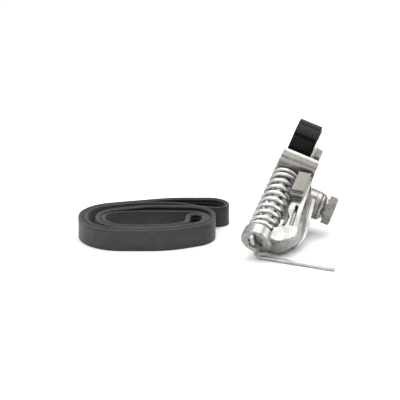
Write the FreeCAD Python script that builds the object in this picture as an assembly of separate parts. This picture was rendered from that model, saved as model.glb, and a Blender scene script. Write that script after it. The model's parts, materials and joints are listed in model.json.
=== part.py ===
import FreeCAD, Part
import math
import os

# A belt-drive repair kit: a ribbed drive belt, rolled up and stood on its edge, and an
# automatic belt tensioner lying beside it with its locking pin fitted.
#
# The tensioner is drawn in its own frame and then laid down as it rests:
#   X is "across", along the pivot and the pulley bolt, positive towards the wrench hexagon
#   Y is "along", the axis of the spring, from the pin end to the lever end
#   Z is "out", away from the spring
# Points of a side view are (along, out), and points of a plan view are (across, along).

Vec = FreeCAD.Vector
ORIGIN = Vec(0, 0, 0)

# ------------------------------------------------------------------ how it lies
heading = -25.0            # turn of the laid-down tensioner about the vertical
pitch = 30.25              # rise of the spring axis from the floor
roll = 23.0                # turn about the spring axis
floor_drop = 17.8          # floor below the spring axis at the pin end

# ------------------------------------------------------------------ clearances
running_gap = 0.05         # radial clearance of a turning fit
moving_gap = 0.4           # between parts that move past each other
slide_gap = 0.15           # radial clearance of the locking pin
clear_gap = 0.8            # round a part that swings past a casting
overcut = 1.0              # how far a cutting tool runs past the face that it cuts

# ------------------------------------------------------------------ spring strut
boss_length = 12.0
boss_edge = 1.6
end_wall = 5.0
rod_radius = 6.0
rod_chamfer = 1.5
tang_width = 11.4
tang_thickness = 3.6
tang_reach = 8.5           # how far the tang stands out of the boss
slot_width = 15.0
slot_height = 4.6
bush_wall = 1.6
seat_thickness = 1.0
seat_pilot_length = 6.0
seat_pilot_wall = 1.2
wire_radius = 2.1
spring_radius = 11.8       # to the middle of the wire
spring_pitch = 8.0
spring_length = 79.0
spring_outer = spring_radius + wire_radius
spring_start = boss_length + seat_thickness
boss_radius = spring_outer + 1.6
pilot_outer = spring_radius - wire_radius - moving_gap
pilot_inner = pilot_outer - seat_pilot_wall
rod_bush_radius = rod_radius + running_gap + bush_wall

# ------------------------------------------------------------------ locking pin
pin_radius = 2.0
pin_along = -4.2           # in front of the boss's end face
pin_top = 14.0
pin_bend = 5.0
pin_handle = 80.0
pin_nose = 0.8

# ------------------------------------------------------------------ lever block
block_face = spring_start + spring_length + seat_thickness
block_back = block_face + 13.0
block_left = -12.0
block_right = 26.0
block_top = 24.5
block_corner = 10.0
block_edge = 1.5
rod_end = block_face - seat_pilot_length - 1.0

# ------------------------------------------------------------------ bracket
plate_inner = spring_outer + 2.1     # the wall beside the spring
plate_end = block_face - 4.5
plate_top = 11.0
plate_bottom = -11.5
flange_thickness = 3.2
groove_height = 1.8
wall_root = 2.0            # where the wall starts, inside the boss
wall_overlap = 0.5
lug_top = 21.0
lug_thickness = 3.5
lug_width = 12.4
lug_slant = 3.5
lug_start = plate_end - 27.0
lug_end = plate_end + 1.0
lug_right = plate_inner + 7.4
channel_depth = 6.0
cheek_inner = plate_inner + 9.0
cheek_thickness = 5.0

# ------------------------------------------------------------------ pivot
pivot_shaft_radius = 8.0
pivot_bush_wall = 2.0
hub_radius = 14.0
hub_start = block_left - 2.0
housing_radius = 15.0
housing_end = plate_inner + 21.0
washer_thickness = 1.3
collar_radius = 14.8
collar_length = 5.3
collar_edge = 0.8
seal_width = 2.2
thrust_length = 5.0
thrust_chamfer = 3.0
neck_radius = 10.5
neck_length = 1.8
hex_flats = 26.0
hex_height = 9.0
hex_chamfer = 0.9
dimple_radius = 7.0
dimple_depth = 1.2
pivot_along = block_face + 1.0
pivot_out = -(spring_outer + hub_radius + 0.7)
pivot_bush_radius = pivot_shaft_radius + running_gap + pivot_bush_wall
hub_end = plate_inner - washer_thickness - moving_gap + 0.1
thrust_start = housing_end + collar_length
neck_start = thrust_start + thrust_length + moving_gap
hex_start = neck_start + neck_length

# ------------------------------------------------------------------ mounting feet
foot_radius = 10.0
foot_length = 16.0
near_foot_across = plate_inner + 17.0
near_foot_along = pivot_along - 22.0
far_foot_across = plate_inner - 10.0
far_foot_along = pivot_along - 14.0
foot_wall = 6.0
sleeve_wall = 1.5
mount_hole_radius = 5.25
face_hole_radius = 4.5
face_hole_out = 5.5
face_hole_along = (plate_end - 26.0, plate_end - 7.0)
face_hole_start = plate_inner + 9.0
face_hole_end = plate_inner + 22.0

# ------------------------------------------------------------------ pulley
pulley_radius = 30.0
pulley_width = 24.0
rim_thickness = 3.0
rim_edge = 0.8
pulley_web = 5.0
pulley_hub_wall = 3.0
arm_thickness = 4.2
arm_end_radius = 13.0
web_thickness = 4.0
pulley_along = pivot_along + 38.0
pulley_out = pivot_out + 26.6
pulley_start = hub_start + arm_thickness + moving_gap
pulley_end = pulley_start + pulley_width
arm_step_outer = pulley_radius - rim_thickness - 1.5
arm_step_inner = arm_step_outer - 5.0

# ------------------------------------------------------------------ pulley bearing and bolt
bearing_outer_radius = pulley_radius * 2 / 3
bearing_inner_radius = 8.5
bearing_width = 12.0
ball_radius = pulley_radius * 0.11
ball_count = 8
cage_half_width = 3.9
cage_half_wall = 1.1
seal_thickness = 0.8
seal_recess = 0.2
ball_circle = (bearing_outer_radius + bearing_inner_radius) / 2
ring_shoulder = ball_radius * 0.7121    # from the ball circle to each ring's shoulder
bearing_start = pulley_start + (pulley_width - bearing_width) / 2
bearing_end = bearing_start + bearing_width
bearing_lip = 0.5          # how far the pulley's hub stands past the bearing
web_end = bearing_start - 1.2
boss_bolt_radius = ball_circle - ring_shoulder - 0.9
pulley_bolt_radius = 5.0
pulley_bolt_flats = 16.0
pulley_bolt_head = 7.0
pulley_bolt_chamfer = 0.7
bolt_flange_radius = 9.6
bolt_flange_thickness = 1.0
shield_radius = pulley_radius - rim_thickness - 0.5
shield_rise = 2.4
shield_thickness = 1.0
shield_flat = boss_bolt_radius
shield_slope_end = shield_radius - 6.5
shield_start = pulley_end + moving_gap
head_start = shield_start + shield_rise

# ------------------------------------------------------------------ belt
rib_count = 6
rib_pitch = 3.56
rib_depth = 2.4
belt_thickness = 4.4
rib_tip = 1.5              # width of a rib's flat tip
rib_root = 0.7             # width of the groove's floor between two ribs
# corners (x, y, bend radius) of the closed loop that the belt lies in, seen from above and
# measured from the spring axis's pin end; every second pass runs back inside the first one
belt_corners = [
    (-85.0, 130.0, 120.0),
    (-175.2, 105.0, 38.0),
    (-175.2, 27.0, 45.0),
    (-85.0, 27.0, 80.0),
    (-39.7, 48.1, 28.0),
    (-39.7, 102.0, 26.0),
    (-108.0, 105.5, 60.0),
    (-157.4, 88.0, 24.0),
    (-157.4, 36.8, 32.0),
    (-87.2, 36.8, 70.2),
    (-49.5, 54.3, 18.2),
    (-49.5, 79.0, 8.0),
    (-65.0, 79.0, 7.5),
    (-66.5, 51.8, 14.0),
    (-88.3, 41.7, 65.3),
    (-152.5, 41.7, 27.1),
    (-152.5, 82.0, 15.0),
    (-118.0, 88.0, 60.0),
    (-44.6, 86.5, 19.0),
    (-44.6, 51.2, 23.1),
    (-86.1, 31.9, 75.1),
    (-170.3, 31.9, 40.1),
    (-170.3, 101.3, 33.1),
    (-112.0, 117.5, 60.0),
    (-75.0, 115.5, 40.0),
    (-46.0, 100.5, 20.0),
    (-24.9, 98.5, 10.0),
    (-24.9, 130.0, 20.0),
]


# ================================================================== frame helpers
def laid(shape):
    """The shape of the tensioner's own frame, laid down above the floor."""
    placed = shape.copy()
    placed.rotate(ORIGIN, Vec(0, 1, 0), roll)
    placed.rotate(ORIGIN, Vec(1, 0, 0), pitch)
    placed.rotate(ORIGIN, Vec(0, 0, 1), heading)
    placed.translate(Vec(0, 0, floor_drop))
    return placed


def upward_parts():
    """How much each axis of the tensioner's frame rises, as laid."""
    roll_angle = math.radians(roll)
    pitch_angle = math.radians(pitch)
    across_up = -math.sin(roll_angle) * math.cos(pitch_angle)
    along_up = math.sin(pitch_angle)
    out_up = math.cos(roll_angle) * math.cos(pitch_angle)
    return across_up, along_up, out_up


def foot_height(across, along, radius):
    """The out coordinate at which an upright disc's rim stands on the floor."""
    across_up, along_up, out_up = upward_parts()
    rim_drop = radius * math.sqrt(1 - across_up**2)
    return (rim_drop - floor_drop - across_up * across - along_up * along) / out_up


# ================================================================== shape helpers
def rounded_edges(corners):
    """A closed outline of straight runs and tangent arcs through (x, y, radius) corners."""
    arcs = []
    count = len(corners)
    for index, (x, y, radius) in enumerate(corners):
        corner = Vec(x, y, 0)
        before = Vec(*corners[index - 1][:2], 0) - corner
        after = Vec(*corners[(index + 1) % count][:2], 0) - corner
        before.normalize()
        after.normalize()
        half = before.getAngle(after) / 2
        reach = radius / math.tan(half)
        middle = corner
        if radius > 0:
            inward = before + after
            inward.normalize()
            middle = corner + inward * (radius / math.sin(half) - radius)
        arcs.append((corner + before * reach, middle, corner + after * reach, radius))
    edges = []
    for index, (start, middle, end, radius) in enumerate(arcs):
        if radius > 0:
            edges.append(Part.Arc(start, middle, end).toShape())
        following = arcs[(index + 1) % count][0]
        edges.append(Part.LineSegment(end, following).toShape())
    return edges


def outline(corners):
    return Part.Wire(rounded_edges(corners))


def plan_prism(corners, low, high):
    """A plan outline of (across, along, radius), from one out height to another."""
    face = Part.Face(outline(corners))
    face.translate(Vec(0, 0, low))
    return face.extrude(Vec(0, 0, high - low))


def side_prism(corners, low, high):
    """A side outline of (along, out, radius), from one across position to another."""
    face = Part.Face(outline(corners))
    face.rotate(ORIGIN, Vec(1, 1, 1), 120)
    face.translate(Vec(low, 0, 0))
    return face.extrude(Vec(high - low, 0, 0))


def across_cylinder(radius, low, high, along, out):
    return Part.makeCylinder(radius, high - low, Vec(low, along, out), Vec(1, 0, 0))


def along_cylinder(radius, low, high):
    return Part.makeCylinder(radius, high - low, Vec(0, low, 0), Vec(0, 1, 0))


def across_ring(outer, inner, low, high, along, out):
    ring = across_cylinder(outer, low, high, along, out)
    return ring.cut(across_cylinder(inner, low - 1, high + 1, along, out))


def along_ring(outer, inner, low, high):
    return along_cylinder(outer, low, high).cut(along_cylinder(inner, low - 1, high + 1))


def turned(profile, along, out):
    """A solid turned about an across axis from (across, radius) points."""
    points = [Vec(across, radius, 0) for across, radius in profile]
    face = Part.Face(Part.makePolygon(points + [points[0]]))
    solid = face.revolve(ORIGIN, Vec(1, 0, 0), 360)
    solid.translate(Vec(0, along, out))
    return solid


def hexagon(flats, low, height, along, out, chamfer):
    """A hexagonal head along the across axis, chamfered at its outer end."""
    corner_radius = flats / math.sqrt(3)
    points = []
    for step in range(7):
        angle = math.radians(60 * step + 30)
        points.append(Vec(low, corner_radius * math.cos(angle), corner_radius * math.sin(angle)))
    head = Part.Face(Part.makePolygon(points)).extrude(Vec(height, 0, 0))
    cone = turned([(low, 0), (low, corner_radius), (low + height - chamfer, corner_radius),
                   (low + height, corner_radius - 1.8 * chamfer), (low + height, 0)], 0, 0)
    head = head.common(cone)
    head.translate(Vec(0, along, out))
    return head


def joined(shapes):
    return shapes[0].fuse(shapes[1:]).removeSplitter()


# ================================================================== bracket
near_foot_out = foot_height(near_foot_across, near_foot_along, foot_radius)
far_foot_out = foot_height(far_foot_across, far_foot_along, foot_radius)
foot_places = [(near_foot_across, near_foot_along, near_foot_out),
               (far_foot_across, far_foot_along, far_foot_out)]


def wall_outline(outer, end):
    """The wall's plan: from the boss round the corner and up beside the spring to its end."""
    inner = [(plate_inner, end, 0), (plate_inner, boss_length + 32, 6),
             (plate_inner + 4.5, boss_length + 24, 4), (plate_inner + 4, boss_length + 13, 5),
             (plate_inner - 4, boss_length + 7, 4), (wall_root, boss_length, 0)]
    return outline(outer + inner)


def elbow():
    """The drafted wall that goes from the boss round the corner and up beside the spring."""
    top = [(wall_root, boss_length - 8, 0), (plate_inner + 5, boss_length - 8, 12),
           (plate_inner + 18, boss_length + 6, 12), (plate_inner + 13.5, boss_length + 34, 30),
           (plate_inner + 10.5, plate_end, 0)]
    bottom = [(wall_root, boss_length - 9, 0), (plate_inner + 10, boss_length - 4.5, 14),
              (plate_inner + 24, boss_length + 17, 22), (plate_inner + 18.5, boss_length + 48, 40),
              (plate_inner + 15, plate_end, 0)]
    top_wire = wall_outline(top, plate_end)
    top_wire.translate(Vec(0, 0, plate_top))
    bottom_wire = wall_outline(bottom, plate_end)
    bottom_wire.translate(Vec(0, 0, plate_bottom))
    return Part.makeLoft([bottom_wire, top_wire], True, True)


def flange():
    """The thin outer rim at the foot of the elbow, over a narrower neck."""
    neck_end = plate_end - 2
    rim = [(wall_root, boss_length - 9, 0), (plate_inner + 12.5, boss_length - 2.5, 18),
           (plate_inner + 28, boss_length + 19.5, 40), (plate_inner + 24, boss_length + 50, 60),
           (plate_inner + 20.5, plate_end, 0), (plate_inner, plate_end, 0),
           (plate_inner, boss_length + 8, 8), (wall_root, boss_length, 0)]
    neck = [(wall_root + 2, boss_length - 7, 0), (plate_inner + 10.5, boss_length - 1, 15),
            (plate_inner + 24, boss_length + 19, 30), (plate_inner + 20, boss_length + 48, 40),
            (plate_inner + 16.5, neck_end, 0), (plate_inner, neck_end, 0),
            (plate_inner, boss_length + 8, 8), (wall_root + 2, boss_length, 0)]
    neck_low = plate_bottom - groove_height
    neck_solid = plan_prism(neck, neck_low, plate_bottom + wall_overlap)
    return neck_solid.fuse(plan_prism(rim, neck_low - flange_thickness, neck_low))


def lug():
    """The pad with the machined face, out beyond the spring."""
    left = lug_right - lug_width
    pad = [(left, lug_start, 0), (lug_right, lug_start + lug_slant, 0), (lug_right, lug_end, 0),
           (left, lug_end - lug_slant, 0)]
    neck_left = left + 0.6
    neck_right = lug_right + 1.4
    neck = [(neck_left, lug_start - 3, 0), (neck_right, lug_start, 0), (neck_right, plate_end, 0),
            (neck_left, plate_end - lug_slant, 0)]
    pad_low = lug_top - lug_thickness
    return plan_prism(pad, pad_low, lug_top).fuse(plan_prism(neck, plate_top - 4, pad_low))


def cheek():
    """The wall below the plate that carries the pivot housing and the near foot."""
    foot_side = near_foot_along - foot_radius
    side = [(near_foot_along - 46, plate_bottom, 0), (pivot_along, pivot_out + housing_radius, 0),
            (pivot_along, pivot_out - housing_radius, 0),
            (near_foot_along + 4, near_foot_out - foot_radius + 1, 0),
            (foot_side + 2, near_foot_out - 5, 5)]
    return side_prism(side, cheek_inner, cheek_inner + cheek_thickness)


def feet():
    """Two round mounting eyes, and the cross wall that carries the far one."""
    eyes = [across_cylinder(foot_radius, across - foot_length, across, along, out)
            for across, along, out in foot_places]
    wall_top = -spring_outer - 2.5
    low_left = far_foot_out + 3
    low_right = near_foot_out + 3
    left = far_foot_across - foot_length + 1
    right = cheek_inner + cheek_thickness
    points = [Vec(left, 0, low_left + 5), Vec(left, 0, low_left), Vec(right, 0, low_right),
              Vec(right, 0, wall_top), Vec(plate_inner, 0, wall_top)]
    wall = Part.Face(Part.makePolygon(points + [points[0]]))
    wall.translate(Vec(0, (near_foot_along + far_foot_along - foot_wall) / 2, 0))
    wall = wall.extrude(Vec(0, foot_wall, 0))
    return eyes + [wall]


def boss():
    body = along_cylinder(boss_radius, 0, boss_length)
    edges = [edge for edge in body.Edges if abs(edge.CenterOfMass.y) < 0.01]
    return body.makeFillet(boss_edge, edges[:1])


def rod_slot():
    """The slot in the end wall that the rod's tang comes out of, with round ends."""
    half = slot_width / 2
    end = slot_height / 2 - 0.01
    low = -slot_height / 2
    corners = [(-half, low, end), (half, low, end), (half, -low, end), (-half, -low, end)]
    face = Part.Face(outline(corners))
    face.rotate(ORIGIN, Vec(1, 0, 0), -90)
    face.translate(Vec(0, -overcut, 0))
    return face.extrude(Vec(0, end_wall + 2 * overcut, 0))


def bracket_pockets():
    """Everything that is cut out of the casting."""
    eye_radius = mount_hole_radius + sleeve_wall
    cuts = [
        along_cylinder(rod_bush_radius, end_wall, boss_length + overcut),
        rod_slot(),
        along_cylinder(spring_outer + 1.3, boss_length, plate_end + overcut),
        across_cylinder(pivot_bush_radius, plate_inner - overcut, housing_end + overcut,
                        pivot_along, pivot_out),
        across_cylinder(collar_radius + clear_gap, housing_end, housing_end + 30,
                        pivot_along, pivot_out),
    ]
    for across, along, out in foot_places:
        cuts.append(across_cylinder(eye_radius, across - foot_length - overcut, across + overcut,
                                    along, out))
    channel = [(plate_inner + 7.2, boss_length + 16, 1.2),
               (plate_inner + 10.6, boss_length + 15, 1.2),
               (plate_inner + 8.4, boss_length + 40, 1.2),
               (plate_inner + 5.2, boss_length + 44, 1.2)]
    cuts.append(plan_prism(channel, plate_top - channel_depth, plate_top + overcut))
    for along in face_hole_along:
        cuts.append(across_cylinder(face_hole_radius, face_hole_start, face_hole_end,
                                    along, face_hole_out))
    return cuts


def base_bracket():
    housing = across_cylinder(housing_radius, plate_inner, housing_end, pivot_along, pivot_out)
    casting = boss().fuse([elbow(), flange(), lug(), cheek(), housing] + feet())
    return casting.cut(bracket_pockets())


def mounting_sleeves():
    return [across_ring(mount_hole_radius + sleeve_wall, mount_hole_radius,
                        across - foot_length, across, along, out)
            for across, along, out in foot_places]


# ================================================================== spring strut
def rod_bush():
    return along_ring(rod_bush_radius, rod_radius + running_gap, end_wall, boss_length)


def pin_frame(shape):
    """Turns a shape drawn upright so that the pin's leg is square to the floor line."""
    turned_shape = shape.copy()
    turned_shape.rotate(ORIGIN, Vec(0, 1, 0), -roll)
    return turned_shape


def guide_rod():
    rod = along_cylinder(rod_radius, end_wall + 0.3, rod_end)
    nose = [edge for edge in rod.Edges if abs(edge.CenterOfMass.y - rod_end) < 0.01]
    rod = rod.makeChamfer(rod_chamfer, nose[:1])
    corners = [(-tang_width / 2, -tang_reach, 3), (tang_width / 2, -tang_reach, 3),
               (tang_width / 2, end_wall + 2, 0), (-tang_width / 2, end_wall + 2, 0)]
    tang = plan_prism(corners, -tang_thickness / 2, tang_thickness / 2)
    hole = Part.makeCylinder(pin_radius + slide_gap, 40, Vec(0, pin_along, -20), Vec(0, 0, 1))
    return rod.fuse(tang).removeSplitter().cut(pin_frame(hole))


def spring_seat(start, pilot_start):
    """A pressed ring that locates the spring by its inside."""
    ring = along_ring(boss_radius - 1.5, pilot_inner, start, start + seat_thickness)
    pilot = along_ring(pilot_outer, pilot_inner, pilot_start, pilot_start + seat_pilot_length)
    return ring.fuse(pilot).removeSplitter()


def near_spring_seat():
    return spring_seat(boss_length, boss_length)


def far_spring_seat():
    return spring_seat(block_face - seat_thickness, block_face - seat_pilot_length)


def compression_spring():
    height = spring_length - 2 * wire_radius
    cylinder_angle = 0
    left_handed = True
    helix = Part.makeHelix(spring_pitch, height, spring_radius, cylinder_angle, left_handed)
    section = Part.Wire(Part.Circle(Vec(spring_radius, 0, 0), Vec(0, 1, 0), wire_radius).toShape())
    coil = Part.Wire(helix).makePipeShell([section], True, True)
    coil.rotate(ORIGIN, Vec(1, 0, 0), -90)
    coil.translate(Vec(0, spring_start + wire_radius, 0))
    return coil


def lock_pin():
    """An L of round wire: a leg through the tang and a handle that lies on the floor."""
    along_up = upward_parts()[1]
    leg_up = math.cos(math.radians(pitch))
    handle = (pin_radius - floor_drop - along_up * pin_along) / leg_up
    corner = handle + pin_bend
    bend_middle = Vec(pin_bend * (1 - math.cos(math.pi / 4)), 0,
                      corner - pin_bend * math.sin(math.pi / 4))
    edges = [
        Part.LineSegment(Vec(0, 0, pin_top), Vec(0, 0, corner)).toShape(),
        Part.Arc(Vec(0, 0, corner), bend_middle, Vec(pin_bend, 0, handle)).toShape(),
        Part.LineSegment(Vec(pin_bend, 0, handle), Vec(pin_handle, 0, handle)).toShape(),
    ]
    section = Part.Wire(Part.Circle(Vec(0, 0, pin_top), Vec(0, 0, 1), pin_radius).toShape())
    pin = Part.Wire(edges).makePipeShell([section], True, False)
    ends = [edge for edge in pin.Edges
            if abs(edge.Length - 2 * math.pi * pin_radius) < 0.01
            and (edge.CenterOfMass.z > pin_top - 0.1 or edge.CenterOfMass.x > pin_handle - 0.1)]
    pin = pin.makeChamfer(pin_nose, ends)
    pin.translate(Vec(0, pin_along, 0))
    return pin_frame(pin)


# ================================================================== pivot
def pivot_bush():
    return across_ring(pivot_bush_radius, pivot_shaft_radius + running_gap,
                       plate_inner, housing_end, pivot_along, pivot_out)


def friction_washer():
    return across_ring(hub_radius - 0.5, pivot_shaft_radius + moving_gap,
                       plate_inner - washer_thickness, plate_inner, pivot_along, pivot_out)


def bearing_cap():
    inner = pivot_shaft_radius + moving_gap
    seal_outer = inner + seal_width
    seal_end = housing_end + seal_width
    profile = [(housing_end, seal_outer), (housing_end, collar_radius),
               (thrust_start - collar_edge, collar_radius),
               (thrust_start, collar_radius - collar_edge), (thrust_start, inner),
               (seal_end, inner), (seal_end, seal_outer)]
    return turned(profile, pivot_along, pivot_out)


def pivot_seal():
    inner = pivot_shaft_radius + 2 * running_gap
    outer = pivot_shaft_radius + moving_gap + seal_width - 2 * running_gap
    return across_ring(outer, inner, housing_end + 2 * running_gap,
                       housing_end + seal_width - 2 * running_gap, pivot_along, pivot_out)


def thrust_ring():
    inner = pivot_shaft_radius + moving_gap
    end = thrust_start + thrust_length
    outer = collar_radius - 0.2
    profile = [(thrust_start, inner), (thrust_start, outer - collar_edge),
               (thrust_start + collar_edge, outer), (end - thrust_chamfer, outer),
               (end, outer - thrust_chamfer), (end, inner)]
    return turned(profile, pivot_along, pivot_out)


def pivot_bolt():
    hex_end = hex_start + hex_height
    shank = across_cylinder(pivot_shaft_radius, hub_start + 1, neck_start + wall_overlap,
                            pivot_along, pivot_out)
    neck = across_cylinder(neck_radius, neck_start, hex_start, pivot_along, pivot_out)
    head = hexagon(hex_flats, hex_start, hex_height, pivot_along, pivot_out, hex_chamfer)
    dimple = across_cylinder(dimple_radius, hex_end - dimple_depth, hex_end + overcut,
                             pivot_along, pivot_out)
    return joined([shank, neck, head]).cut(dimple)


# ================================================================== lever
whole_width = (hub_start - 10, pulley_end + 10)
room_end = pulley_end + 1.8          # room for the shield on the pulley's open side


def arm_side(low, high):
    """The lever's side plate, from the pivot to the pulley bolt."""
    reach_along = pulley_along - pivot_along
    reach_out = pulley_out - pivot_out
    reach = math.hypot(reach_along, reach_out)
    spread = math.asin((hub_radius - arm_end_radius) / reach)
    heading_angle = math.atan2(reach_out, reach_along)
    points = []
    for side in (1, -1):
        angle = heading_angle + side * (math.pi / 2 - spread)
        points.append((pivot_along + hub_radius * math.cos(angle),
                       pivot_out + hub_radius * math.sin(angle), 0))
        points.append((pulley_along + arm_end_radius * math.cos(angle),
                       pulley_out + arm_end_radius * math.sin(angle), 0))
    hull = side_prism([points[0], points[1], points[3], points[2]], low, high)
    hub = across_cylinder(hub_radius, low, high, pivot_along, pivot_out)
    tip = across_cylinder(arm_end_radius, low, high, pulley_along, pulley_out)
    return joined([hull, hub, tip])


def pulley_disc(radius, low, high):
    return across_cylinder(radius, low, high, pulley_along, pulley_out)


def side_arm():
    """The plate passes outside the pulley's rim, then steps into the pulley's hollow."""
    arm_high = hub_start + arm_thickness
    outside = arm_side(hub_start, arm_high).cut(pulley_disc(arm_step_inner, *whole_width))
    step = arm_side(hub_start, web_end).common(pulley_disc(arm_step_outer, *whole_width))
    step = step.cut(pulley_disc(arm_step_inner, *whole_width))
    web = arm_side(web_end - web_thickness, web_end).common(
        pulley_disc(arm_step_outer, *whole_width))
    bolt_boss = pulley_disc(boss_bolt_radius, pulley_start, bearing_start)
    return [outside, step, web, bolt_boss]


def seat_block():
    """The block that the spring pushes, hollowed behind to clear the pulley."""
    side = [(block_face, pivot_out, 0), (block_face, block_top, block_corner),
            (block_back, block_top, block_edge), (block_back, pivot_out, 0)]
    block = side_prism(side, block_left, block_right)
    pulley_room = pulley_disc(pulley_radius + 2 * clear_gap, block_left - 5, room_end)
    bracket_room = across_cylinder(housing_radius + clear_gap, hub_end - 0.2, block_right + 1,
                                   pivot_along, pivot_out)
    return block.cut([pulley_room, bracket_room])


def lever_arm():
    hub = across_cylinder(hub_radius, hub_start, hub_end, pivot_along, pivot_out)
    casting = joined([hub, seat_block()] + side_arm())
    cuts = [
        across_cylinder(pivot_shaft_radius, hub_start + 1, hub_end + 1, pivot_along, pivot_out),
        pulley_disc(pulley_bolt_radius, pulley_start - 1, bearing_start + 1),
        pulley_disc(pulley_radius + clear_gap, pulley_start - moving_gap, room_end).cut(
            pulley_disc(arm_step_outer + 0.3, *whole_width)),
    ]
    return casting.cut(cuts).removeSplitter()


# ================================================================== pulley
def pulley():
    outer = pulley_radius
    inner = pulley_radius - rim_thickness
    hub_outer = bearing_outer_radius + pulley_hub_wall
    web_low = bearing_start + (bearing_width - pulley_web) / 2
    web_high = web_low + pulley_web
    hub_low = bearing_start - bearing_lip
    hub_high = bearing_end + bearing_lip
    profile = [
        (pulley_start, inner + rim_edge), (pulley_start, outer - rim_edge),
        (pulley_start + rim_edge, outer), (pulley_end - rim_edge, outer),
        (pulley_end, outer - rim_edge), (pulley_end, inner + rim_edge),
        (pulley_end - rim_edge, inner), (web_high, inner), (web_high, hub_outer),
        (hub_high, hub_outer), (hub_high, bearing_outer_radius),
        (hub_low, bearing_outer_radius), (hub_low, hub_outer),
        (web_low, hub_outer), (web_low, inner), (pulley_start + rim_edge, inner),
    ]
    return turned(profile, pulley_along, pulley_out)


def ball_groove():
    middle = Vec(bearing_start + bearing_width / 2, pulley_along, pulley_out)
    return Part.makeTorus(ball_circle, ball_radius + running_gap, middle, Vec(1, 0, 0))


def bearing_outer_ring():
    ring = across_ring(bearing_outer_radius, ball_circle + ring_shoulder,
                       bearing_start, bearing_end, pulley_along, pulley_out)
    return ring.cut(ball_groove())


def bearing_inner_ring():
    ring = across_ring(ball_circle - ring_shoulder, bearing_inner_radius,
                       bearing_start, bearing_end, pulley_along, pulley_out)
    return ring.cut(ball_groove())


def ball_places():
    middle = bearing_start + bearing_width / 2
    for index in range(ball_count):
        angle = 2 * math.pi * index / ball_count
        yield Vec(middle, pulley_along + ball_circle * math.cos(angle),
                  pulley_out + ball_circle * math.sin(angle))


def bearing_balls():
    return [Part.makeSphere(ball_radius, place) for place in ball_places()]


def bearing_cage():
    """A ring with a round pocket for each ball."""
    middle = bearing_start + bearing_width / 2
    cage = across_ring(ball_circle + cage_half_wall, ball_circle - cage_half_wall,
                       middle - cage_half_width, middle + cage_half_width,
                       pulley_along, pulley_out)
    pockets = [Part.makeSphere(ball_radius + 2 * running_gap, place) for place in ball_places()]
    return cage.cut(pockets)


def bearing_seals():
    inner = ball_circle - ring_shoulder + moving_gap
    outer = ball_circle + ring_shoulder
    lows = (bearing_start + seal_recess, bearing_end - seal_recess - seal_thickness)
    return [across_ring(outer, inner, low, low + seal_thickness, pulley_along, pulley_out)
            for low in lows]


def bearing_sleeve():
    """Fills the bearing's bore round the bolt and stands under the shield."""
    return across_ring(bearing_inner_radius, pulley_bolt_radius + running_gap,
                       bearing_start, bearing_end, pulley_along, pulley_out)


def spacer_washer():
    return across_ring(boss_bolt_radius, pulley_bolt_radius + running_gap,
                       bearing_end, pulley_end + moving_gap, pulley_along, pulley_out)


def dust_shield():
    """A shallow pressed dish that covers the pulley's open side."""
    bore = pulley_bolt_radius + running_gap
    thick = shield_thickness
    slope_low = shield_start + 0.7
    rim_top = shield_start + 0.6
    profile = [
        (head_start - thick, bore), (head_start, bore), (head_start, shield_flat),
        (slope_low + thick, shield_slope_end), (shield_start + thick, shield_radius - 1),
        (rim_top, shield_radius), (shield_start, shield_radius),
        (shield_start, shield_radius - 1), (slope_low, shield_slope_end),
        (head_start - thick, shield_flat),
    ]
    return turned(profile, pulley_along, pulley_out)


def shield_spacer():
    """The collar that holds the dish's flat centre off the spacer washer."""
    return across_ring(boss_bolt_radius - 1, pulley_bolt_radius + running_gap,
                       shield_start, head_start - shield_thickness, pulley_along, pulley_out)


def pulley_bolt():
    shank = pulley_disc(pulley_bolt_radius, pulley_start + moving_gap, head_start + overcut)
    flange_disc = pulley_disc(bolt_flange_radius, head_start, head_start + bolt_flange_thickness)
    head = hexagon(pulley_bolt_flats, head_start, pulley_bolt_head, pulley_along, pulley_out,
                   pulley_bolt_chamfer)
    return joined([shank, flange_disc, head])


# ================================================================== belt
def belt_section():
    """Half-height section of the belt, (depth from the back, height), ribs inward."""
    half_height = rib_count * rib_pitch / 2
    half_tip = rib_tip / 2
    root = belt_thickness - rib_depth
    half_root = rib_root / 2
    points = [(0, -half_height), (0, half_height), (root, half_height)]
    for index in range(rib_count):
        middle = half_height - rib_pitch * (index + 0.5)
        if index > 0:
            points.append((root, middle + rib_pitch / 2 - half_root))
        points.append((belt_thickness, middle + half_tip))
        points.append((belt_thickness, middle - half_tip))
        if index < rib_count - 1:
            points.append((root, middle - rib_pitch / 2 + half_root))
    points.append((root, -half_height))
    return points


def ribbed_belt():
    """The closed loop, its smooth back outward and its ribs inward."""
    path = Part.Wire(rounded_edges(belt_corners))
    first = path.Edges[1]
    start = first.valueAt(first.FirstParameter)
    tangent = first.tangentAt(first.FirstParameter)
    left = Vec(-tangent.y, tangent.x, 0)
    half_height = rib_count * rib_pitch / 2
    points = []
    for depth, height in belt_section():
        offset = left * (depth - belt_thickness / 2)
        points.append(start + offset + Vec(0, 0, height + half_height))
    section = Part.makePolygon(points + [points[0]])
    edges = path.Edges[1:] + path.Edges[:1]
    solids = []
    for edge in edges:
        solids.append(belt_run(edge, section, start, tangent))
    return joined(solids)


def belt_run(edge, section, start, tangent):
    """One straight or curved run of the belt: its section moved to the run and swept."""
    place = edge.valueAt(edge.FirstParameter)
    direction = edge.tangentAt(edge.FirstParameter)
    face = Part.Face(section)
    turn = math.degrees(math.atan2(direction.y, direction.x) - math.atan2(tangent.y, tangent.x))
    face.rotate(start, Vec(0, 0, 1), turn)
    face.translate(place - start)
    if isinstance(edge.Curve, Part.Line):
        return face.extrude(edge.valueAt(edge.LastParameter) - place)
    centre = edge.Curve.Center
    swept = math.degrees(edge.LastParameter - edge.FirstParameter)
    axis = edge.Curve.Axis
    return face.revolve(centre, axis, swept)


# ================================================================== output
def grouped(shapes):
    return Part.makeCompound(shapes)


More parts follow.
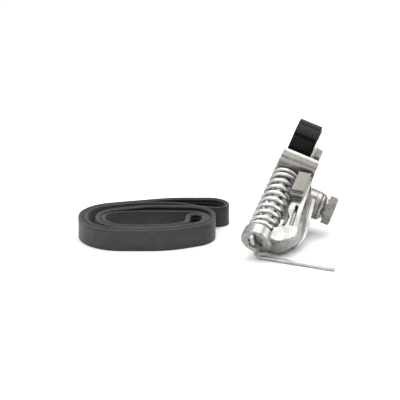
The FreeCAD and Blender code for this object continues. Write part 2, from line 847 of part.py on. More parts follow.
tensioner = {
    "base_bracket": base_bracket(),
    "mounting_sleeves": grouped(mounting_sleeves()),
    "rod_bush": rod_bush(),
    "guide_rod": guide_rod(),
    "near_spring_seat": near_spring_seat(),
    "compression_spring": compression_spring(),
    "far_spring_seat": far_spring_seat(),
    "lock_pin": lock_pin(),
    "pivot_bush": pivot_bush(),
    "friction_washer": friction_washer(),
    "bearing_cap": bearing_cap(),
    "pivot_seal": pivot_seal(),
    "thrust_ring": thrust_ring(),
    "pivot_bolt": pivot_bolt(),
    "lever_arm": lever_arm(),
    "pulley": pulley(),
    "bearing_outer_ring": bearing_outer_ring(),
    "bearing_inner_ring": bearing_inner_ring(),
    "bearing_balls": grouped(bearing_balls()),
    "bearing_cage": bearing_cage(),
    "bearing_seals": grouped(bearing_seals()),
    "bearing_sleeve": bearing_sleeve(),
    "spacer_washer": spacer_washer(),
    "shield_spacer": shield_spacer(),
    "dust_shield": dust_shield(),
    "pulley_bolt": pulley_bolt(),
}

kit = {name: laid(shape) for name, shape in tensioner.items()}
kit["ribbed_belt"] = ribbed_belt()

# the origin is on the floor, under the middle of the whole kit
boxes = [shape.optimalBoundingBox(False, False) for shape in kit.values()]
middle_x = (min(box.XMin for box in boxes) + max(box.XMax for box in boxes)) / 2
middle_y = (min(box.YMin for box in boxes) + max(box.YMax for box in boxes)) / 2
to_origin = Vec(-middle_x, -middle_y, 0)

os.makedirs("parts", exist_ok=True)
for name, shape in kit.items():
    shape.translate(to_origin)
    shape.exportStep("parts/" + name + ".step")
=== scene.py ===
import json
import math

import bmesh
import bpy
from mathutils import Matrix, Vector


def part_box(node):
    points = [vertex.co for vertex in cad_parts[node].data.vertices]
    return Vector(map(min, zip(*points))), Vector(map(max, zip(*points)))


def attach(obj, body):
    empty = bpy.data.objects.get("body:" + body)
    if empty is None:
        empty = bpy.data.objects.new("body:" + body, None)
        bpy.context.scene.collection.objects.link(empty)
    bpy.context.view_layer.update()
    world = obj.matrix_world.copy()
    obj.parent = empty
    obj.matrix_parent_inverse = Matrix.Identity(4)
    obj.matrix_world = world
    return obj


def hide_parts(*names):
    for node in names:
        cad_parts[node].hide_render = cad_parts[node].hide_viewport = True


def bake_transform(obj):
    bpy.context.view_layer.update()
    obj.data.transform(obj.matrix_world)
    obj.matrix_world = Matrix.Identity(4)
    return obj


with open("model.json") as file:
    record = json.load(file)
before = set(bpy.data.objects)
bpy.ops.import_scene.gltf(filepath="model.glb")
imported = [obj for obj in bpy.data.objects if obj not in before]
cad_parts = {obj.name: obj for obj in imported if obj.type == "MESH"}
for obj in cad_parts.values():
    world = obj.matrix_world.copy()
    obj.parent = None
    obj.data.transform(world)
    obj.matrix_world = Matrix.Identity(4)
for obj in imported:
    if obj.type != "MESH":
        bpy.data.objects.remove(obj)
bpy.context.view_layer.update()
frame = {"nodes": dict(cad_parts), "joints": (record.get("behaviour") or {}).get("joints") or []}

# The looks of a belt-drive repair kit. Shapes are worked out in the tensioner's own frame:
# X is "across", along the pivot; Y is "along", the spring's axis; Z is "out" from the spring.

MM = 0.001

# ------------------------------------------------------------------ the tensioner's frame
joints = {joint["name"]: joint for joint in frame["joints"]}
ACROSS = -Vector(joints["lever_pivot"]["axis"]).normalized()
PIN_UP = -Vector(joints["pin_slide"]["axis"]).normalized()
ALONG = PIN_UP.cross(ACROSS).normalized()
OUT = ACROSS.cross(ALONG).normalized()
PIVOT = Vector(joints["lever_pivot"]["pos_m"])
PIVOT_ACROSS = 26.5 * MM       # where the joint's point lies in the tensioner's frame
PIVOT_ALONG = 94.0 * MM
PIVOT_OUT = -28.6 * MM
ORIGIN = PIVOT - ACROSS * PIVOT_ACROSS - ALONG * PIVOT_ALONG - OUT * PIVOT_OUT

LAID = Matrix((ACROSS, ALONG, OUT)).transposed().to_4x4()
LAID.translation = ORIGIN
FROM_ROW = LAID.inverted()

TURNED_SEGMENTS = 144
ARC_STEPS = 5
SHARP_ANGLE = math.radians(42)
OWN_PLACE = "own_place"        # attribute with each vertex's place in its piece's own frame


def extent(node):
    """Lowest and highest corner of a CAD node in the tensioner's own frame."""
    points = [FROM_ROW @ vertex.co for vertex in frame["nodes"][node].data.vertices]
    low = Vector([min(point[axis] for point in points) for axis in range(3)])
    high = Vector([max(point[axis] for point in points) for axis in range(3)])
    return low, high


def across_axis(node):
    """A frame whose X axis is the axis that a CAD node is turned about."""
    low, high = extent(node)
    middle = (low + high) / 2
    return LAID @ Matrix.Translation((0, middle.y, middle.z))


# ------------------------------------------------------------------ node helpers
def new_material(name, metallic=0.0, **constants):
    """A material with a Principled shader; constants are set on its own sockets."""
    material = bpy.data.materials.new(name)
    material.use_nodes = True
    shader = material.node_tree.nodes["Principled BSDF"]
    shader.inputs["Metallic"].default_value = metallic
    for socket, value in constants.items():
        shader.inputs[socket.replace("_", " ")].default_value = value
    return material, shader


def add_node(material, kind, **settings):
    node = material.node_tree.nodes.new(kind)
    for name, value in settings.items():
        setattr(node, name, value)
    return node


def link(material, source, target):
    material.node_tree.links.new(source, target)


def object_point(material, scale=(1, 1, 1)):
    """Where a surface point is in the row's frame, stretched by scale."""
    place = add_node(material, "ShaderNodeTexCoord")
    mapping = add_node(material, "ShaderNodeMapping")
    mapping.inputs["Scale"].default_value = scale
    link(material, place.outputs["Object"], mapping.inputs["Vector"])
    return mapping.outputs["Vector"]


def own_point(material):
    """Where a surface point is in the frame that its piece was drawn in."""
    return add_node(material, "ShaderNodeAttribute", attribute_name=OWN_PLACE).outputs["Vector"]


def noise(material, size, detail=4.0, roughness=0.55, stretch=(1, 1, 1)):
    """Noise whose lumps are about size metres across."""
    texture = add_node(material, "ShaderNodeTexNoise")
    texture.inputs["Scale"].default_value = 1 / size
    texture.inputs["Detail"].default_value = detail
    texture.inputs["Roughness"].default_value = roughness
    link(material, object_point(material, stretch), texture.inputs["Vector"])
    return texture.outputs["Fac"]


def ramp(material, factor, stops):
    """A colour ramp through (position, (r, g, b)) stops."""
    node = add_node(material, "ShaderNodeValToRGB")
    elements = node.color_ramp.elements
    while len(elements) < len(stops):
        elements.new(0.5)
    for element, (position, colour) in zip(elements, stops):
        element.position = position
        element.color = (*colour, 1.0)
    link(material, factor, node.inputs["Fac"])
    return node.outputs["Color"]


def spread(material, factor, low, high, start=0.3, end=0.7):
    """The factor mapped from start..end to low..high."""
    node = add_node(material, "ShaderNodeMapRange")
    node.inputs["From Min"].default_value = start
    node.inputs["From Max"].default_value = end
    node.inputs["To Min"].default_value = low
    node.inputs["To Max"].default_value = high
    link(material, factor, node.inputs["Value"])
    return node.outputs["Result"]


def multiplied(material, first, second, amount=1.0):
    node = add_node(material, "ShaderNodeMix", data_type="RGBA", blend_type="MULTIPLY")
    node.inputs["Factor"].default_value = amount
    link(material, first, node.inputs["A"])
    link(material, second, node.inputs["B"])
    return node.outputs["Result"]


def bumped(material, shader, layers):
    """Bump from (height, strength, distance) layers, coarse ones first."""
    previous = None
    for height, strength, distance in layers:
        node = add_node(material, "ShaderNodeBump")
        node.inputs["Strength"].default_value = strength
        node.inputs["Distance"].default_value = distance
        link(material, height, node.inputs["Height"])
        if previous is not None:
            link(material, previous, node.inputs["Normal"])
        previous = node.outputs["Normal"]
    link(material, previous, shader.inputs["Normal"])


def pointiness(material, stops):
    """Colour by how sharp a ridge or how deep a groove the mesh has at a point."""
    geometry = add_node(material, "ShaderNodeNewGeometry")
    return ramp(material, geometry.outputs["Pointiness"], stops)


def waves(material, pattern, direction, spacing, distortion=1.5):
    """Fine parallel or ring-shaped tool marks, spacing metres apart."""
    texture = add_node(material, "ShaderNodeTexWave", wave_type=pattern)
    if pattern == "BANDS":
        texture.bands_direction = direction
    else:
        texture.rings_direction = direction
    texture.inputs["Scale"].default_value = 0.314 / spacing
    texture.inputs["Distortion"].default_value = distortion
    texture.inputs["Detail"].default_value = 2.0
    link(material, own_point(material), texture.inputs["Vector"])
    return texture.outputs["Fac"]


# ------------------------------------------------------------------ materials
def cast_aluminium(name, light, dark):
    """Blasted die casting: fine grain, faint stains, and painted shade darkening its hollows."""
    material, shader = new_material(name, metallic=0.82)
    clouds = ramp(material, noise(material, 14 * MM), [(0.35, dark), (0.65, light)])
    # Painted shade: hollows and grooves, found by pointiness, are darkened towards near black;
    # ridges and flats keep their colour.
    painted_hollow_shade = pointiness(material, [(0.44, (0.10, 0.097, 0.093)), (0.498, (1.0, 1.0, 1.0)),
                                    (0.60, (1.0, 1.0, 1.0))])
    speckle = ramp(material, noise(material, 0.9 * MM, detail=2.0),
                   [(0.25, (0.80, 0.79, 0.78)), (0.42, (1.0, 1.0, 1.0))])
    # Random stains multiplied by the painted shade in the hollows.
    stains_and_painted_shade = multiplied(material, clouds, painted_hollow_shade)
    link(material, multiplied(material, stains_and_painted_shade, speckle, 0.7), shader.inputs["Base Color"])
    link(material, spread(material, noise(material, 6 * MM), 0.22, 0.36),
         shader.inputs["Roughness"])
    bumped(material, shader, [(noise(material, 5 * MM), 0.15, 0.2 * MM),
                              (noise(material, 0.45 * MM, detail=3.0), 0.30, 0.07 * MM)])
    return material


def machined_aluminium(name, light, dark, direction):
    """A milled face: parallel cutter lines and a duller tone than the casting."""
    material, shader = new_material(name, metallic=0.75)
    lines = waves(material, "BANDS", direction, 0.5 * MM, distortion=0.8)
    tone = ramp(material, lines, [(0.2, dark), (0.8, light)])
    clouds = ramp(material, noise(material, 4 * MM), [(0.3, (0.86, 0.85, 0.83)), (0.7, (1, 1, 1))])
    link(material, multiplied(material, tone, clouds), shader.inputs["Base Color"])
    link(material, spread(material, noise(material, 2 * MM), 0.34, 0.48),
         shader.inputs["Roughness"])
    bumped(material, shader, [(lines, 0.15, 0.03 * MM)])
    return material


def turned_steel(name, light, dark, roughness, grain=0.35 * MM):
    """Turned steel: rings on the end faces, fine turning lines round the sides."""
    material, shader = new_material(name, metallic=1.0)
    rings = waves(material, "RINGS", "X", grain, distortion=0.6)
    lines = waves(material, "BANDS", "X", grain, distortion=0.6)
    clouds = ramp(material, noise(material, 5 * MM), [(0.35, dark), (0.65, light)])
    marks = ramp(material, rings, [(0.1, (0.88, 0.88, 0.87)), (0.7, (1, 1, 1))])
    link(material, multiplied(material, clouds, marks), shader.inputs["Base Color"])
    link(material, spread(material, noise(material, 1.5 * MM), roughness, roughness + 0.12),
         shader.inputs["Roughness"])
    bumped(material, shader, [(rings, 0.12, 0.02 * MM), (lines, 0.12, 0.02 * MM)])
    return material


def wire_steel(name, light, dark, roughness, size):
    """Drawn and peened wire: fine dimples, faint smoky stains."""
    material, shader = new_material(name, metallic=1.0)
    stains = ramp(material, noise(material, size), [(0.35, dark), (0.62, light)])
    link(material, stains, shader.inputs["Base Color"])
    link(material, spread(material, noise(material, 1.2 * MM), roughness, roughness + 0.14),
         shader.inputs["Roughness"])
    bumped(material, shader, [(noise(material, 0.5 * MM, detail=2.0), 0.08, 0.03 * MM)])
    return material


def moulded_plastic(name):
    """Glossy black plastic with faint flow marks and a few rubbed places."""
    material, shader = new_material(name, Specular_IOR_Level=0.08)
    tone = ramp(material, noise(material, 9 * MM),
                [(0.3, (0.002, 0.002, 0.0024)), (0.7, (0.005, 0.0045, 0.004))])
    link(material, tone, shader.inputs["Base Color"])
    link(material, spread(material, noise(material, 3 * MM), 0.10, 0.18),
         shader.inputs["Roughness"])
    bumped(material, shader, [(waves(material, "BANDS", "X", 0.9 * MM), 0.06, 0.02 * MM),
                              (noise(material, 0.6 * MM), 0.05, 0.02 * MM)])
    return material


def belt_rubber(name, light, dark, roughness, grain):
    """Matt rubber: a fine ground grain, streaks along the belt and a little dust."""
    material, shader = new_material(name, Specular_IOR_Level=0.35, Sheen_Weight=0.12,
                                    Sheen_Roughness=0.5)
    clouds = ramp(material, noise(material, 7 * MM), [(0.3, dark), (0.7, light)])
    streaks = ramp(material, noise(material, 1.6 * MM, stretch=(0.06, 0.06, 1)),
                   [(0.3, (0.72, 0.72, 0.72)), (0.65, (1, 1, 1))])
    dust = ramp(material, noise(material, 1.1 * MM, detail=6.0, roughness=0.7),
                [(0.66, (1, 1, 1)), (0.74, (2.1, 2.0, 1.9))])
    tone = multiplied(material, clouds, streaks)
    link(material, multiplied(material, tone, dust), shader.inputs["Base Color"])
    link(material, spread(material, noise(material, 2.5 * MM), roughness, roughness + 0.15),
         shader.inputs["Roughness"])
    bumped(material, shader, [(noise(material, 3 * MM, stretch=(0.1, 0.1, 1)), 0.15, 0.15 * MM),
                              (noise(material, grain, detail=3.0), 0.35, 0.10 * MM)])
    return material


def dull_part(name, light, dark, metallic, roughness):
    """A plain dull finish for bushes, seals, cages and rings inside the assembly, and for the
    near-black painted shade inside the bracket's wall holes.
    """
    material, shader = new_material(name, metallic=metallic)
    tone = ramp(material, noise(material, 2.2 * MM), [(0.3, dark), (0.7, light)])
    link(material, tone, shader.inputs["Base Color"])
    link(material, spread(material, noise(material, 0.8 * MM), roughness, roughness + 0.12),
         shader.inputs["Roughness"])
    bumped(material, shader, [(noise(material, 0.35 * MM), 0.2, 0.04 * MM)])
    return material


CASTING = cast_aluminium("casting_finish", (0.36, 0.355, 0.345), (0.22, 0.216, 0.208))
LEVER_CASTING = cast_aluminium("lever_finish", (0.36, 0.35, 0.325), (0.27, 0.26, 0.24))
# Near-black painted shade for the faces inside the bracket's two round wall holes.
PAINTED_HOLE_SHADE = dull_part("painted_hole_shade_finish", (0.060, 0.058, 0.055), (0.030, 0.029, 0.028), 0.3, 0.55)
MILLED = machined_aluminium("milled_finish", (0.20, 0.187, 0.168), (0.155, 0.145, 0.13), "X")
COLLAR = turned_steel("collar_finish", (0.40, 0.38, 0.35), (0.30, 0.285, 0.26), 0.28)
BOLT_STEEL = turned_steel("bolt_finish", (0.34, 0.33, 0.315), (0.26, 0.25, 0.24), 0.26)
SHIELD_STEEL = turned_steel("shield_finish", (0.66, 0.655, 0.64), (0.54, 0.53, 0.52), 0.18)
SPRING_STEEL = wire_steel("spring_finish", (0.66, 0.655, 0.64), (0.56, 0.55, 0.535), 0.28, 9 * MM)
PIN_STEEL = wire_steel("pin_finish", (0.50, 0.49, 0.47), (0.36, 0.35, 0.33), 0.24, 7 * MM)
ROD_STEEL = wire_steel("rod_finish", (0.42, 0.40, 0.37), (0.28, 0.265, 0.245), 0.30, 5 * MM)
PULLEY_BLACK = moulded_plastic("pulley_finish")
BELT_BACK = belt_rubber("belt_back_finish", (0.037, 0.037, 0.0365), (0.024, 0.024, 0.024),
                        0.52, 0.5 * MM)
BELT_EDGE = belt_rubber("belt_edge_finish", (0.028, 0.027, 0.022), (0.017, 0.0165, 0.014),
                        0.66, 0.35 * MM)
BELT_CORD = belt_rubber("belt_cord_finish", (0.052, 0.047, 0.035), (0.028, 0.026, 0.020),
                        0.72, 0.30 * MM)
BELT_RIBS = belt_rubber("belt_rib_finish", (0.027, 0.024, 0.020), (0.015, 0.0135, 0.012),
                        0.68, 0.40 * MM)


# ------------------------------------------------------------------ piece helpers
def new_mesh(name, points, faces):
    mesh = bpy.data.meshes.new(name)
    mesh.from_pydata([tuple(point) for point in points], [], faces)
    working = bmesh.new()
    working.from_mesh(mesh)
    bmesh.ops.recalc_face_normals(working, faces=working.faces)
    working.to_mesh(mesh)
    working.free()
    return mesh


def add_piece(name, mesh, matrix, nodes, materials, weighted=False):
    """A shown object that stands for CAD nodes, laid down by matrix; it has no body yet."""
    places = [0.0] * (3 * len(mesh.vertices))
    mesh.vertices.foreach_get("co", places)
    mesh.attributes.new(OWN_PLACE, "FLOAT_VECTOR", "POINT").data.foreach_set("vector", places)
    mesh.transform(matrix)
    piece = bpy.data.objects.new(name, mesh)
    bpy.context.scene.collection.objects.link(piece)
    for material in materials:
        mesh.materials.append(material)
    mesh.shade_smooth()
    mesh.set_sharp_from_angle(angle=SHARP_ANGLE)
    if weighted:
        modifier = piece.modifiers.new("flat_faces", "WEIGHTED_NORMAL")
        modifier.keep_sharp = True
    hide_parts(*nodes)
    return piece


def rounded(corners, closed=True):
    """(x, y, radius) corners as points, each corner replaced by a short arc."""
    points = []
    count = len(corners)
    for index, (x, y, radius) in enumerate(corners):
        corner = Vector((x, y))
        at_end = not closed and index in (0, count - 1)
        if radius == 0 or at_end:
            points.append(corner)
            continue
        before = (Vector(corners[index - 1][:2]) - corner).normalized()
        after = (Vector(corners[(index + 1) % count][:2]) - corner).normalized()
        half = before.angle(after) / 2
        if half > math.radians(88):
            points.append(corner)
            continue
        centre = corner + (before + after).normalized() * (radius / math.sin(half))
        start = corner + before * (radius / math.tan(half)) - centre
        end = corner + after * (radius / math.tan(half)) - centre
        sweep = start.angle_signed(end)
        for step in range(ARC_STEPS + 1):
            turn = -sweep * step / ARC_STEPS
            cosine, sine = math.cos(turn), math.sin(turn)
            points.append(centre + Vector((start.x * cosine - start.y * sine,
                                           start.x * sine + start.y * cosine)))
    return points


def turned_mesh(name, profile, closed=True):
    """A mesh turned about the X axis from (across, radius) points."""
    points = []
    rings = []
    for across, radius in profile:
        first = len(points)
        if radius < 1e-7:
            points.append((across, 0, 0))
            rings.append([first] * TURNED_SEGMENTS)
            continue
        for step in range(TURNED_SEGMENTS):
            angle = 2 * math.pi * step / TURNED_SEGMENTS
            points.append((across, radius * math.cos(angle), radius * math.sin(angle)))
        rings.append(list(range(first, first + TURNED_SEGMENTS)))
    return new_mesh(name, points, ring_faces(rings, closed))


def ring_faces(rings, closed):
    """Faces between neighbouring rings of vertices; a ring of one vertex is a point."""
    faces = []
    pairs = list(zip(rings, rings[1:]))
    if closed:
        pairs.append((rings[-1], rings[0]))
    for near, far in pairs:
        count = len(near)
        for step in range(count):
            corner = [near[step], near[(step + 1) % count], far[(step + 1) % count], far[step]]
            face = list(dict.fromkeys(corner))
            if len(face) > 2:
                faces.append(face)
    return faces


def joined_mesh(name, meshes):
    """One mesh made of several."""
    working = bmesh.new()
    for mesh in meshes:
        working.from_mesh(mesh)
    mesh = bpy.data.meshes.new(name)
    working.to_mesh(mesh)
    working.free()
    return mesh


def tube_mesh(name, centres, sides, radii, frames):
    """A round tube with closed ends; frames are (side, up) vectors at each centre."""
    points = []
    rings = []
    for centre, radius, (side, up) in zip(centres, radii, frames):
        rings.append(list(range(len(points), len(points) + sides)))
        for step in range(sides):
            angle = 2 * math.pi * step / sides
            offset = side * math.cos(angle) + up * math.sin(angle)
            points.append(centre + offset * radius)
    faces = ring_faces(rings, closed=False)
    faces.append(rings[0][::-1])
    faces.append(rings[-1])
    return new_mesh(name, points, faces)


def softened(name, node, voxel, passes):
    """A CAD node's shape with its sharp edges melted as a casting's are, in its own frame."""
    mesh = frame["nodes"][node].data.copy()
    mesh.transform(FROM_ROW)
    working = bmesh.new()
    working.from_mesh(mesh)
    bmesh.ops.remove_doubles(working, verts=working.verts, dist=0.002 * MM)
    working.to_mesh(mesh)
    working.free()
    rough = bpy.data.objects.new(name + "_rough", mesh)
    bpy.context.scene.collection.objects.link(rough)
    remesh = rough.modifiers.new("voxels", "REMESH")
    remesh.mode = "VOXEL"
    remesh.voxel_size = voxel
    melt = rough.modifiers.new("melt", "SMOOTH")
    melt.factor = 0.5
    melt.iterations = passes
    graph = bpy.context.evaluated_depsgraph_get()
    final = bpy.data.meshes.new_from_object(rough.evaluated_get(graph))
    bpy.data.objects.remove(rough)
    final.materials.clear()
    final.name = name
    return final


def smooth_step(value):
    value = min(max(value, 0.0), 1.0)
    return value * value * (3 - 2 * value)


# ------------------------------------------------------------------ castings
CASTING_VOXEL = 0.36 * MM
ROD_VOXEL = 0.28 * MM
MELT_PASSES = 3
MELT_DEPTH = 0.7 * MM          # how far below its flat a softened face may still lie
HOLE_ALONG = (62.5 * MM, 81.5 * MM)
HOLE_OUT = 5.5 * MM
HOLE_RADIUS = 4.5 * MM
HOLE_START = 25.0 * MM
HOLE_END = 38.0 * MM


def milled_faces(mesh, is_milled):
    """Gives the second material to the faces that a cutter has passed over."""
    for polygon in mesh.polygons:
        if is_milled(polygon.center, polygon.normal):
            polygon.material_index = 1


def in_face_hole(centre, normal):
    """Whether a face of the bracket lies inside one of the two round holes in its wall."""
    if not HOLE_START - 0.5 * MM < centre.x < HOLE_END:
        return False
    sideways = abs(normal.x) < 0.7
    for along in HOLE_ALONG:
        reach = math.hypot(centre.y - along, centre.z - HOLE_OUT)
        if reach < HOLE_RADIUS + 0.15 * MM and (sideways or centre.x < HOLE_START + 1 * MM):
            return True
    return False


def make_bracket():
    mesh = softened("bracket_casting", "base_bracket", CASTING_VOXEL, MELT_PASSES)
    high = extent("base_bracket")[1]
    eyes_high = extent("mounting_sleeves")[1]
    lug_top = high.z - MELT_DEPTH
    eye_face = eyes_high.x - MELT_DEPTH
    eye_reach = 12 * MM

    def is_milled(centre, normal):
        on_lug = centre.z > lug_top and normal.z > 0.9
        on_eye = (centre.x > eye_face and normal.x > 0.9 and centre.z < eyes_high.z
                  and centre.y < eyes_high.y + eye_reach)
        return on_lug or on_eye

    milled_faces(mesh, is_milled)
    # Faces inside the two round wall holes get the painted shade material.
    for polygon in mesh.polygons:
        if in_face_hole(polygon.center, polygon.normal):
            polygon.material_index = 2
    bracket = add_piece("bracket_casting", mesh, LAID, ["base_bracket"],
                        [CASTING, MILLED, PAINTED_HOLE_SHADE])
    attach(bracket, "base")


def make_lever():
    mesh = softened("lever_casting", "lever_arm", CASTING_VOXEL, MELT_PASSES)
    lever = add_piece("lever_casting", mesh, LAID, ["lever_arm"],
                      [LEVER_CASTING, MILLED])
    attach(lever, "lever")


def make_rod():
    mesh = softened("rod_with_tang", "guide_rod", ROD_VOXEL, MELT_PASSES)
    rod = add_piece("rod_with_tang", mesh, LAID, ["guide_rod"], [ROD_STEEL])
    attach(rod, "base")


# ------------------------------------------------------------------ spring
SPRING_TURNS = 10.3
CLOSED_TURNS = 0.85
OPENING_TURNS = 0.45
STEPS_PER_TURN = 72
WIRE_SIDES = 28


def spring_rises(steps, closed_pitch, total):
    """How far each step of the coil climbs: closed at both ends, open between."""
    shares = []
    for step in range(steps):
        turns = (step + 0.5) / STEPS_PER_TURN
        opening = smooth_step((turns - CLOSED_TURNS) / OPENING_TURNS)
        closing = smooth_step((SPRING_TURNS - turns - CLOSED_TURNS) / OPENING_TURNS)
        shares.append(opening * closing)
    closed = closed_pitch / STEPS_PER_TURN
    extra = (total - closed * steps) / sum(shares)
    return [closed + extra * share for share in shares]


def make_spring():
    low, high = extent("compression_spring")
    wire = 2.1 * MM
    radius = (high.x - low.x) / 2 - wire
    tip = 0.35 * wire
    steps = round(SPRING_TURNS * STEPS_PER_TURN)
    rises = spring_rises(steps, 2 * wire + 0.06 * MM, high.y - low.y - 2 * tip)
    along = low.y + tip
    centres = []
    frames = []
    for step in range(steps + 1):
        angle = 2 * math.pi * step / STEPS_PER_TURN
        outward = Vector((math.cos(angle), 0, -math.sin(angle)))
        rise = rises[min(step, steps - 1)]
        round_step = Vector((-math.sin(angle), 0, -math.cos(angle)))
        tangent = round_step * (2 * math.pi * radius / STEPS_PER_TURN) + Vector((0, rise, 0))
        centres.append(outward * radius + Vector((0, along, 0)))
        frames.append((outward, tangent.normalized().cross(outward)))
        along += rise
    mesh = tube_mesh("coil_spring", centres, WIRE_SIDES, [wire] * len(centres), frames)
    for vertex in mesh.vertices:      # the end coils are ground flat
        vertex.co.y = min(max(vertex.co.y, low.y), high.y)
    spring = add_piece("coil_spring", mesh, LAID, ["compression_spring"],
                       [SPRING_STEEL])
    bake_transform(spring)


# ------------------------------------------------------------------ locking pin
PIN_SIDES = 32


def make_pin():
    wire = 2.0 * MM
    bend = 5.0 * MM
    nose = 0.8 * MM
    node = frame["nodes"]["lock_pin"]
    handle_way = ALONG.cross(PIN_UP).normalized()
    heights = [(vertex.co - ORIGIN).dot(PIN_UP) for vertex in node.data.vertices]
    reaches = [(vertex.co - ORIGIN).dot(handle_way) for vertex in node.data.vertices]
    places = [(vertex.co - ORIGIN).dot(ALONG) for vertex in node.data.vertices]
    along = (min(places) + max(places)) / 2
    top = max(heights)
    handle = min(heights) + wire
    end = max(reaches)
    route = [Vector((0, top - nose * share)) for share in (0, 0.1, 0.35, 0.65, 1)]
    leg_steps = 24
    for step in range(1, leg_steps):
        height = top - nose + (handle + bend - top + nose) * step / leg_steps
        route.append(Vector((0, height)))
    bend_steps = 14
    for step in range(bend_steps + 1):
        angle = math.pi / 2 * step / bend_steps
        route.append(Vector((bend * (1 - math.cos(angle)), handle + bend * (1 - math.sin(angle)))))
    handle_steps = 60
    for step in range(1, handle_steps):
        route.append(Vector((bend + (end - nose - bend) * step / handle_steps, handle)))
    route += [Vector((end - nose * share, handle)) for share in (1, 0.65, 0.35, 0.1, 0)]
    origin = ORIGIN + ALONG * along
    centres = [origin + handle_way * point.x + PIN_UP * point.y for point in route]
    radii = [wire] * len(route)
    for index, share in enumerate((0.45, 0.72, 0.90, 0.98, 1.0)):
        radii[index] = wire * share
        radii[-1 - index] = wire * share
    frames = []
    for index in range(len(centres)):
        ahead = centres[min(index + 1, len(centres) - 1)] - centres[max(index - 1, 0)]
        frames.append((ALONG, ahead.normalized().cross(ALONG)))
    mesh = tube_mesh("wire_pin", centres, PIN_SIDES, radii, frames)
    pin = add_piece("wire_pin", mesh, Matrix.Identity(4), ["lock_pin"], [PIN_STEEL])
    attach(pin, "locking_pin")


# ------------------------------------------------------------------ hexagons and turned parts
FLAT_STEPS = 10
CORNER_STEPS = 6


def hexagon_outline(flats, corner):
    """(angle, radius) points round a hexagon whose corners are slightly rounded."""
    outline = []
    inner = flats / 2 - corner
    for side in range(6):
        corner_angle = math.radians(60 * side)
        centre = Vector((math.cos(corner_angle), math.sin(corner_angle)))
        centre *= inner / math.cos(math.radians(30))
        for step in range(CORNER_STEPS + 1):
            angle = corner_angle + math.radians(-30 + 60 * step / CORNER_STEPS)
            outline.append(centre + corner * Vector((math.cos(angle), math.sin(angle))))
        start = outline[-1]
        next_angle = corner_angle + math.radians(60)
        next_centre = Vector((math.cos(next_angle), math.sin(next_angle)))
        next_centre *= inner / math.cos(math.radians(30))
        middle_angle = corner_angle + math.radians(30)
        end = next_centre + corner * Vector((math.cos(middle_angle), math.sin(middle_angle)))
        for step in range(1, FLAT_STEPS):
            outline.append(start.lerp(end, step / FLAT_STEPS))
    return outline


def hexagon_mesh(name, flats, low, high, hollow, turn):
    """A chamfered hexagonal head along X; hollow lists the (across, radius) rings of its top."""
    outline = hexagon_outline(flats, 0.35 * MM)
    crown = flats * 0.475
    slope = math.tan(math.radians(30))
    edge = 0.25 * MM
    top = high - 0.12 * MM
    points = []
    rings = []

    def add_ring(place):
        rings.append(list(range(len(points), len(points) + len(outline))))
        for point in outline:
            spot = Matrix.Rotation(turn, 2) @ point
            across, scale = place(point.length)
            points.append(Vector((across, spot.x * scale, spot.y * scale)))

    add_ring(lambda radius: (low, (radius - edge) / radius))
    add_ring(lambda radius: (low + edge, 1.0))
    for share in (0.0, 0.5, 1.0):
        def chamfer(radius, share=share):
            beyond = max(radius - crown, 0.0)
            height = top - beyond * slope
            reach = radius - (radius - crown) * share
            across = height + (top - height) * share
            return across, reach / radius
        add_ring(chamfer)
    add_ring(lambda radius: (high, (crown - edge) / radius))
    for across, reach in hollow:
        add_ring(lambda radius, across=across, reach=reach: (across, reach / radius))
    faces = ring_faces(rings, closed=False)
    faces.append(rings[0][::-1])
    faces.append(rings[-1])
    return new_mesh(name, points, faces)


def make_pivot_bolt():
    low, high = extent("pivot_bolt")
    flats = 26 * MM
    dimple = 7.0 * MM
    depth = 1.2 * MM
    head = high.x - 9.0 * MM
    neck = head - 1.8 * MM
    matrix = across_axis("thrust_ring")
    tilt = math.radians(30)
    hollow = [(high.x, dimple + 0.3 * MM), (high.x - 0.1 * MM, dimple + 0.05 * MM),
              (high.x - 0.3 * MM, dimple), (high.x - depth, dimple - 0.4 * MM),
              (high.x - depth, 0.4 * MM)]
    hexagon = hexagon_mesh("wrench_hexagon", flats, head, high.x, hollow, tilt)
    profile = [(low.x, 0, 0), (low.x, 8.0 * MM, 0.4 * MM), (neck, 8.0 * MM, 0.1 * MM),
               (neck, 10.5 * MM, 0.25 * MM), (head + 0.1 * MM, 10.5 * MM, 0),
               (head + 0.1 * MM, 0, 0)]
    shaft = turned_mesh("shaft", rounded(profile, closed=False), closed=False)
    mesh = joined_mesh("pivot_shaft_and_hexagon", [shaft, hexagon])
    bolt = add_piece("pivot_shaft_and_hexagon", mesh, matrix, ["pivot_bolt"],
                     [BOLT_STEEL], weighted=True)
    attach(bolt, "lever")


def make_pulley_bolt():
    low, high = extent("pulley_bolt")
    flats = 16 * MM
    seat = high.x - 7.0 * MM
    matrix = across_axis("pulley")
    hollow = [(high.x, 4.4 * MM), (high.x - 0.35 * MM, 4.1 * MM), (high.x - 0.45 * MM, 0.4 * MM)]
    hexagon = hexagon_mesh("bolt_hexagon", flats, seat + 0.8 * MM, high.x, hollow, math.radians(12))
    profile = [(low.x, 0, 0), (low.x, 5.0 * MM, 0.5 * MM), (seat, 5.0 * MM, 0),
               (seat, 9.6 * MM, 0.2 * MM), (seat + 0.7 * MM, 9.6 * MM, 0.3 * MM),
               (seat + 1.1 * MM, 8.2 * MM, 0), (seat + 1.1 * MM, 0, 0)]
    shank = turned_mesh("shank", rounded(profile, closed=False), closed=False)
    mesh = joined_mesh("pulley_screw", [shank, hexagon])
    bolt = add_piece("pulley_screw", mesh, matrix, ["pulley_bolt"], [BOLT_STEEL],
                     weighted=True)
    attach(bolt, "lever")


